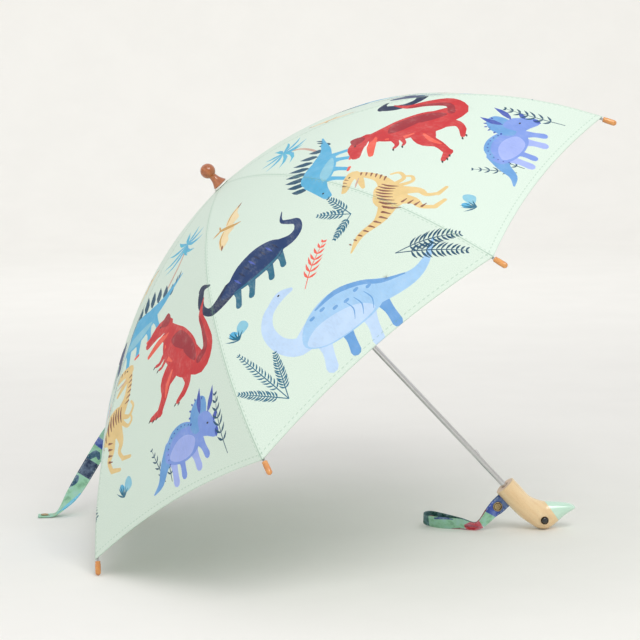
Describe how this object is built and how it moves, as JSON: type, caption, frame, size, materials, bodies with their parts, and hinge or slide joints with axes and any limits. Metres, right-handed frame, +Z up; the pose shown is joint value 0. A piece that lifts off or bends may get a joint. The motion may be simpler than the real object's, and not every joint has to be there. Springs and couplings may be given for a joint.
{
  "type": "children's umbrella",
  "caption": "Child's open umbrella resting on two rib tips and its carved handle, with printed cloth canopy, folding ribs, sliding runner, turned finial and straps.",
  "frame": {"origin": "on the floor under the middle of the umbrella's outline", "axes": "+Z up; the shaft lies in the XZ plane with the finial towards -X and up and the handle towards +X; +Y across the canopy"},
  "size_m": [0.6784, 0.7906, 0.5333],
  "materials": {
    "steel": "polished steel",
    "black_steel": "satin black",
    "white_plastic": "matte",
    "canopy_cloth": "printed woven cloth",
    "strap_cloth": "printed woven tape",
    "finial_wood": "varnished",
    "tip_wood": "varnished",
    "handle_wood": "clear gloss lacquer",
    "mint_paint": "gloss paint on wood",
    "eye_black": "gloss",
    "brass": "antique satin"
  },
  "bodies": {
    "stick": {"shaft": "steel", "top_notch": "black_steel", "collar": "white_plastic", "finial": "finial_wood", "handle": "handle_wood", "bill": "mint_paint", "eye_right": "eye_black", "eye_left": "eye_black", "wrist_strap": "strap_cloth", "snap_cap": "brass", "snap_socket": "brass"},
    "runner": {"runner": "black_steel"},
    "rib_1": {"rib_1": "steel", "tip_cap_1": "tip_wood"},
    "stretcher_1": {"stretcher_1": "steel"},
    "flap_1a": {"gore_1a": "canopy_cloth"},
    "flap_1b": {"gore_1b": "canopy_cloth"},
    "rib_2": {"rib_2": "steel", "tip_cap_2": "tip_wood"},
    "stretcher_2": {"stretcher_2": "steel"},
    "flap_2a": {"gore_2a": "canopy_cloth"},
    "flap_2b": {"gore_2b": "canopy_cloth"},
    "rib_3": {"rib_3": "steel", "tip_cap_3": "tip_wood"},
    "stretcher_3": {"stretcher_3": "steel"},
    "flap_3a": {"gore_3a": "canopy_cloth"},
    "flap_3b": {"gore_3b": "canopy_cloth"},
    "rib_4": {"rib_4": "steel", "tip_cap_4": "tip_wood"},
    "stretcher_4": {"stretcher_4": "steel"},
    "flap_4a": {"gore_4a": "canopy_cloth", "tie_strap": "canopy_cloth", "tie_snap": "brass"},
    "flap_4b": {"gore_4b": "canopy_cloth"},
    "rib_5": {"rib_5": "steel", "tip_cap_5": "tip_wood"},
    "stretcher_5": {"stretcher_5": "steel"},
    "flap_5a": {"gore_5a": "canopy_cloth"},
    "flap_5b": {"gore_5b": "canopy_cloth"},
    "rib_6": {"rib_6": "steel", "tip_cap_6": "tip_wood"},
    "stretcher_6": {"stretcher_6": "steel"},
    "flap_6a": {"gore_6a": "canopy_cloth"},
    "flap_6b": {"gore_6b": "canopy_cloth"},
    "rib_7": {"rib_7": "steel", "tip_cap_7": "tip_wood"},
    "stretcher_7": {"stretcher_7": "steel"},
    "flap_7a": {"gore_7a": "canopy_cloth"},
    "flap_7b": {"gore_7b": "canopy_cloth"},
    "rib_8": {"rib_8": "steel", "tip_cap_8": "tip_wood"},
    "stretcher_8": {"stretcher_8": "steel"},
    "flap_8a": {"gore_8a": "canopy_cloth"},
    "flap_8b": {"gore_8b": "canopy_cloth"},
    "top_catch": {"top_catch": "steel"},
    "bottom_catch": {"bottom_catch": "steel"}
  },
  "joints": [
    {"name": "runner_slide", "type": "slide", "parent": "stick", "child": "runner", "axis": [0.6729, 0, -0.7398], "range_m": [0, 0.29141]},
    {"name": "rib_1_hinge", "type": "hinge", "parent": "stick", "child": "rib_1", "pos_m": [-0.09437, 0.00325, 0.43095], "axis": [-0.2831, 0.9239, -0.2575], "range_deg": [0, 58.51]},
    {"name": "stretcher_1_hinge", "type": "hinge", "parent": "rib_1", "child": "stretcher_1", "pos_m": [0.08172, 0.08069, 0.51519], "axis": [-0.2831, 0.9239, -0.2575], "range_deg": [-117.01, 0]},
    {"name": "flap_1a_fold", "type": "hinge", "parent": "rib_1", "child": "flap_1a", "pos_m": [-0.09338, 0, 0.43185], "axis": [0.3478, 0, 0.9376], "range_deg": [0, 21.56], "deforming": ["gore_1a"]},
    {"name": "flap_1b_fold", "type": "hinge", "parent": "rib_1", "child": "flap_1b", "pos_m": [-0.09537, 0.00651, 0.43004], "axis": [-0.1554, -0.628, -0.7625], "range_deg": [0, 21.56], "deforming": ["gore_1b"]},
    {"name": "rib_2_hinge", "type": "hinge", "parent": "stick", "child": "rib_2", "pos_m": [-0.09778, 0.00785, 0.42785], "axis": [-0.6834, 0.3827, -0.6217], "range_deg": [0, 58.51]},
    {"name": "stretcher_2_hinge", "type": "hinge", "parent": "rib_2", "child": "stretcher_2", "pos_m": [-0.0027, 0.1948, 0.4384], "axis": [-0.6834, 0.3827, -0.6217], "range_deg": [-117.01, 0]},
    {"name": "flap_2a_fold", "type": "hinge", "parent": "rib_2", "child": "flap_2a", "pos_m": [-0.09537, 0.00651, 0.43004], "axis": [0.1554, 0.628, 0.7625], "range_deg": [0, 21.56], "deforming": ["gore_2a"]},
    {"name": "flap_2b_fold", "type": "hinge", "parent": "rib_2", "child": "flap_2b", "pos_m": [-0.10018, 0.0092, 0.42567], "axis": [0.3092, -0.8882, -0.3399], "range_deg": [0, 21.56], "deforming": ["gore_2b"]},
    {"name": "rib_3_hinge", "type": "hinge", "parent": "stick", "child": "rib_3", "pos_m": [-0.10259, 0.00785, 0.42348], "axis": [-0.6834, -0.3827, -0.6217], "range_deg": [0, 58.51]},
    {"name": "stretcher_3_hinge", "type": "hinge", "parent": "rib_3", "child": "stretcher_3", "pos_m": [-0.12208, 0.1948, 0.32982], "axis": [-0.6834, -0.3827, -0.6217], "range_deg": [-117.01, 0]},
    {"name": "flap_3a_fold", "type": "hinge", "parent": "rib_3", "child": "flap_3a", "pos_m": [-0.10018, 0.0092, 0.42567], "axis": [-0.3092, 0.8882, 0.3399], "range_deg": [0, 21.56], "deforming": ["gore_3a"]},
    {"name": "flap_3b_fold", "type": "hinge", "parent": "rib_3", "child": "flap_3b", "pos_m": [-0.105, 0.00651, 0.42129], "axis": [0.7738, -0.628, 0.0827], "range_deg": [0, 21.56], "deforming": ["gore_3b"]},
    {"name": "rib_4_hinge", "type": "hinge", "parent": "stick", "child": "rib_4", "pos_m": [-0.10599, 0.00325, 0.42038], "axis": [-0.2831, -0.9239, -0.2575], "range_deg": [0, 58.51]},
    {"name": "stretcher_4_hinge", "type": "hinge", "parent": "rib_4", "child": "stretcher_4", "pos_m": [-0.20649, 0.08069, 0.25304], "axis": [-0.2831, -0.9239, -0.2575], "range_deg": [-117.01, 0]},
    {"name": "flap_4a_fold", "type": "hinge", "parent": "rib_4", "child": "flap_4a", "pos_m": [-0.105, 0.00651, 0.42129], "axis": [-0.7738, 0.628, -0.0827], "range_deg": [0, 21.56], "deforming": ["gore_4a"]},
    {"name": "flap_4b_fold", "type": "hinge", "parent": "rib_4", "child": "flap_4b", "pos_m": [-0.10699, 0, 0.41947], "axis": [0.9662, 0, 0.2577], "range_deg": [0, 21.56], "deforming": ["gore_4b"]},
    {"name": "rib_5_hinge", "type": "hinge", "parent": "stick", "child": "rib_5", "pos_m": [-0.10599, -0.00325, 0.42038], "axis": [0.2831, -0.9239, 0.2575], "range_deg": [0, 58.51]},
    {"name": "stretcher_5_hinge", "type": "hinge", "parent": "rib_5", "child": "stretcher_5", "pos_m": [-0.20649, -0.08069, 0.25304], "axis": [0.2831, -0.9239, 0.2575], "range_deg": [-117.01, 0]},
    {"name": "flap_5a_fold", "type": "hinge", "parent": "rib_5", "child": "flap_5a", "pos_m": [-0.10699, 0, 0.41947], "axis": [-0.9662, 0, -0.2577], "range_deg": [0, 21.56], "deforming": ["gore_5a"]},
    {"name": "flap_5b_fold", "type": "hinge", "parent": "rib_5", "child": "flap_5b", "pos_m": [-0.105, -0.00651, 0.42129], "axis": [0.7738, 0.628, 0.0827], "range_deg": [0, 21.56], "deforming": ["gore_5b"]},
    {"name": "rib_6_hinge", "type": "hinge", "parent": "stick", "child": "rib_6", "pos_m": [-0.10259, -0.00785, 0.42348], "axis": [0.6834, -0.3827, 0.6217], "range_deg": [0, 58.51]},
    {"name": "stretcher_6_hinge", "type": "hinge", "parent": "rib_6", "child": "stretcher_6", "pos_m": [-0.12208, -0.1948, 0.32982], "axis": [0.6834, -0.3827, 0.6217], "range_deg": [-117.01, 0]},
    {"name": "flap_6a_fold", "type": "hinge", "parent": "rib_6", "child": "flap_6a", "pos_m": [-0.105, -0.00651, 0.42129], "axis": [-0.7738, -0.628, -0.0827], "range_deg": [0, 21.56], "deforming": ["gore_6a"]},
    {"name": "flap_6b_fold", "type": "hinge", "parent": "rib_6", "child": "flap_6b", "pos_m": [-0.10018, -0.0092, 0.42567], "axis": [0.3092, 0.8882, -0.3399], "range_deg": [0, 21.56], "deforming": ["gore_6b"]},
    {"name": "rib_7_hinge", "type": "hinge", "parent": "stick", "child": "rib_7", "pos_m": [-0.09778, -0.00785, 0.42785], "axis": [0.6834, 0.3827, 0.6217], "range_deg": [0, 58.51]},
    {"name": "stretcher_7_hinge", "type": "hinge", "parent": "rib_7", "child": "stretcher_7", "pos_m": [-0.0027, -0.1948, 0.4384], "axis": [0.6834, 0.3827, 0.6217], "range_deg": [-117.01, 0]},
    {"name": "flap_7a_fold", "type": "hinge", "parent": "rib_7", "child": "flap_7a", "pos_m": [-0.10018, -0.0092, 0.42567], "axis": [-0.3092, -0.8882, 0.3399], "range_deg": [0, 21.56], "deforming": ["gore_7a"]},
    {"name": "flap_7b_fold", "type": "hinge", "parent": "rib_7", "child": "flap_7b", "pos_m": [-0.09537, -0.00651, 0.43004], "axis": [-0.1554, 0.628, -0.7625], "range_deg": [0, 21.56], "deforming": ["gore_7b"]},
    {"name": "rib_8_hinge", "type": "hinge", "parent": "stick", "child": "rib_8", "pos_m": [-0.09437, -0.00325, 0.43095], "axis": [0.2831, 0.9239, 0.2575], "range_deg": [0, 58.51]},
    {"name": "stretcher_8_hinge", "type": "hinge", "parent": "rib_8", "child": "stretcher_8", "pos_m": [0.08172, -0.08069, 0.51519], "axis": [0.2831, 0.9239, 0.2575], "range_deg": [-117.01, 0]},
    {"name": "flap_8a_fold", "type": "hinge", "parent": "rib_8", "child": "flap_8a", "pos_m": [-0.09537, -0.00651, 0.43004], "axis": [0.1554, -0.628, 0.7625], "range_deg": [0, 21.56], "deforming": ["gore_8a"]},
    {"name": "flap_8b_fold", "type": "hinge", "parent": "rib_8", "child": "flap_8b", "pos_m": [-0.09338, 0, 0.43185], "axis": [-0.3478, 0, -0.9376], "range_deg": [0, 21.56], "deforming": ["gore_8b"]},
    {"name": "top_catch_press", "type": "slide", "parent": "stick", "child": "top_catch", "axis": [-0.7398, 0, -0.6729], "range_m": [0, 0.0019], "stiffness_N_per_m": 400},
    {"name": "bottom_catch_press", "type": "slide", "parent": "stick", "child": "bottom_catch", "axis": [-0.7398, 0, -0.6729], "range_m": [0, 0.0019], "stiffness_N_per_m": 400}
  ],
  "couplings": [
    {"joint": "rib_1_hinge", "follows": "runner_slide", "rad_per_m": 3.5036},
    {"joint": "stretcher_1_hinge", "follows": "runner_slide", "rad_per_m": -7.0072},
    {"joint": "flap_1a_fold", "follows": "runner_slide", "rad_per_m": 1.2909},
    {"joint": "flap_1b_fold", "follows": "runner_slide", "rad_per_m": 1.2909},
    {"joint": "rib_2_hinge", "follows": "runner_slide", "rad_per_m": 3.5036},
    {"joint": "stretcher_2_hinge", "follows": "runner_slide", "rad_per_m": -7.0072},
    {"joint": "flap_2a_fold", "follows": "runner_slide", "rad_per_m": 1.2909},
    {"joint": "flap_2b_fold", "follows": "runner_slide", "rad_per_m": 1.2909},
    {"joint": "rib_3_hinge", "follows": "runner_slide", "rad_per_m": 3.5036},
    {"joint": "stretcher_3_hinge", "follows": "runner_slide", "rad_per_m": -7.0072},
    {"joint": "flap_3a_fold", "follows": "runner_slide", "rad_per_m": 1.2909},
    {"joint": "flap_3b_fold", "follows": "runner_slide", "rad_per_m": 1.2909},
    {"joint": "rib_4_hinge", "follows": "runner_slide", "rad_per_m": 3.5036},
    {"joint": "stretcher_4_hinge", "follows": "runner_slide", "rad_per_m": -7.0072},
    {"joint": "flap_4a_fold", "follows": "runner_slide", "rad_per_m": 1.2909},
    {"joint": "flap_4b_fold", "follows": "runner_slide", "rad_per_m": 1.2909},
    {"joint": "rib_5_hinge", "follows": "runner_slide", "rad_per_m": 3.5036},
    {"joint": "stretcher_5_hinge", "follows": "runner_slide", "rad_per_m": -7.0072},
    {"joint": "flap_5a_fold", "follows": "runner_slide", "rad_per_m": 1.2909},
    {"joint": "flap_5b_fold", "follows": "runner_slide", "rad_per_m": 1.2909},
    {"joint": "rib_6_hinge", "follows": "runner_slide", "rad_per_m": 3.5036},
    {"joint": "stretcher_6_hinge", "follows": "runner_slide", "rad_per_m": -7.0072},
    {"joint": "flap_6a_fold", "follows": "runner_slide", "rad_per_m": 1.2909},
    {"joint": "flap_6b_fold", "follows": "runner_slide", "rad_per_m": 1.2909},
    {"joint": "rib_7_hinge", "follows": "runner_slide", "rad_per_m": 3.5036},
    {"joint": "stretcher_7_hinge", "follows": "runner_slide", "rad_per_m": -7.0072},
    {"joint": "flap_7a_fold", "follows": "runner_slide", "rad_per_m": 1.2909},
    {"joint": "flap_7b_fold", "follows": "runner_slide", "rad_per_m": 1.2909},
    {"joint": "rib_8_hinge", "follows": "runner_slide", "rad_per_m": 3.5036},
    {"joint": "stretcher_8_hinge", "follows": "runner_slide", "rad_per_m": -7.0072},
    {"joint": "flap_8a_fold", "follows": "runner_slide", "rad_per_m": 1.2909},
    {"joint": "flap_8b_fold", "follows": "runner_slide", "rad_per_m": 1.2909}
  ]
}
